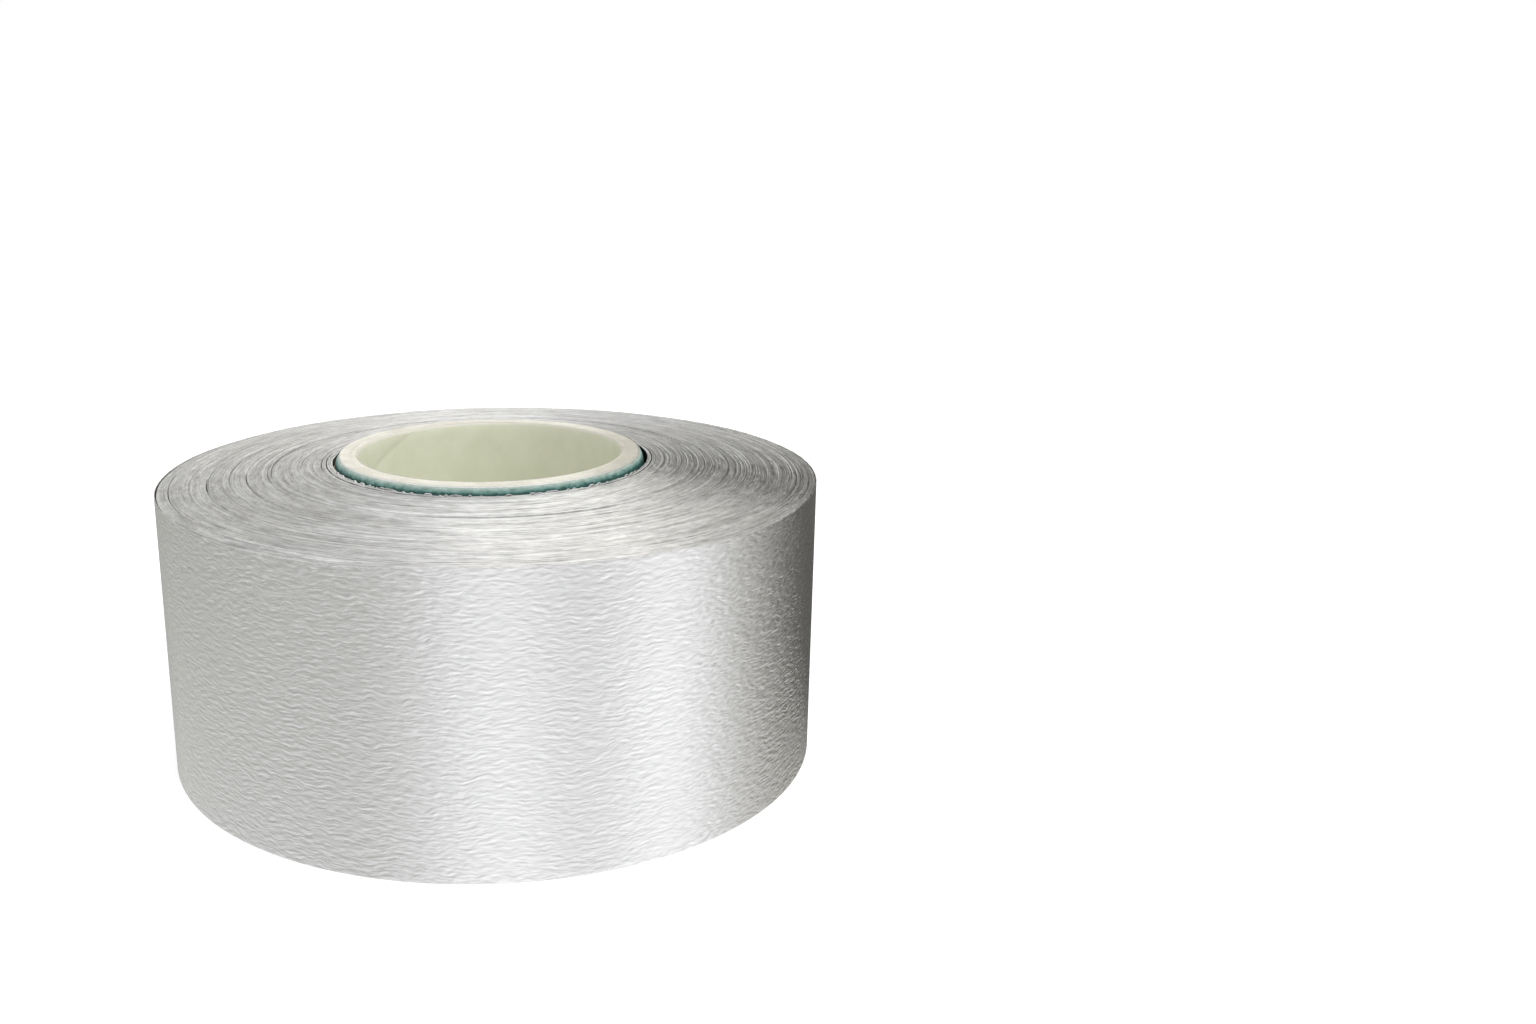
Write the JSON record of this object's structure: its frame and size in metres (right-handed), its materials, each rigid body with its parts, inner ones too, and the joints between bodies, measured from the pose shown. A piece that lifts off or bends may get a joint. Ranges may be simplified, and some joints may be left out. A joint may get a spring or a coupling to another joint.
{
  "type": "roll of metallised ribbon film",
  "caption": "Flangeless roll of silver embossed film wound on a spiral-wound board core, with a free end that peels off the outside.",
  "frame": {"origin": "centre of the bottom end of the roll, on the winding axis", "axes": "+Z along the winding axis, up from the end that the roll stands on; +X towards the side near the free end"},
  "size_m": [0.188, 0.188, 0.0862],
  "materials": {
    "liner_paper": "matte",
    "core_board": "matte",
    "cover_paper": "matte",
    "teal_wrap": "satin",
    "clear_tape": "satin",
    "metallised_film": "satin"
  },
  "bodies": {
    "roll": {"core_liner": "liner_paper", "core_cover": "cover_paper", "start_wrap": "teal_wrap", "start_tape": "clear_tape", "core_board_1": "core_board", "core_board_2": "core_board", "core_board_3": "core_board", "core_board_4": "core_board", "core_board_5": "core_board", "core_board_6": "core_board", "core_board_7": "core_board", "core_board_8": "core_board", "film_first_turns": "metallised_film", "film_inner_pack": "metallised_film", "film_middle_pack": "metallised_film", "film_outer_pack": "metallised_film", "film_last_turn": "metallised_film"},
    "tail_root": {"film_tail_root": "metallised_film"},
    "tail_middle": {"film_tail_middle": "metallised_film"},
    "tail_end": {"film_tail_end": "metallised_film"}
  },
  "joints": [
    {"name": "tail_peel", "type": "hinge", "parent": "roll", "child": "tail_root", "pos_m": [0.07187, 0.06031, 0.04], "axis": [0, 0, 1], "range_deg": [0, 36]},
    {"name": "tail_bend_middle", "type": "hinge", "parent": "tail_root", "child": "tail_middle", "pos_m": [0.08284, 0.04405, 0.04], "axis": [0, 0, 1], "range_deg": [0, 28.8]},
    {"name": "tail_bend_end", "type": "hinge", "parent": "tail_middle", "child": "tail_end", "pos_m": [0.09019, 0.02586, 0.04], "axis": [0, 0, 1], "range_deg": [0, 28.8]}
  ],
  "couplings": [
    {"joint": "tail_bend_middle", "follows": "tail_peel", "ratio": 0.8},
    {"joint": "tail_bend_end", "follows": "tail_peel", "ratio": 0.8}
  ]
}
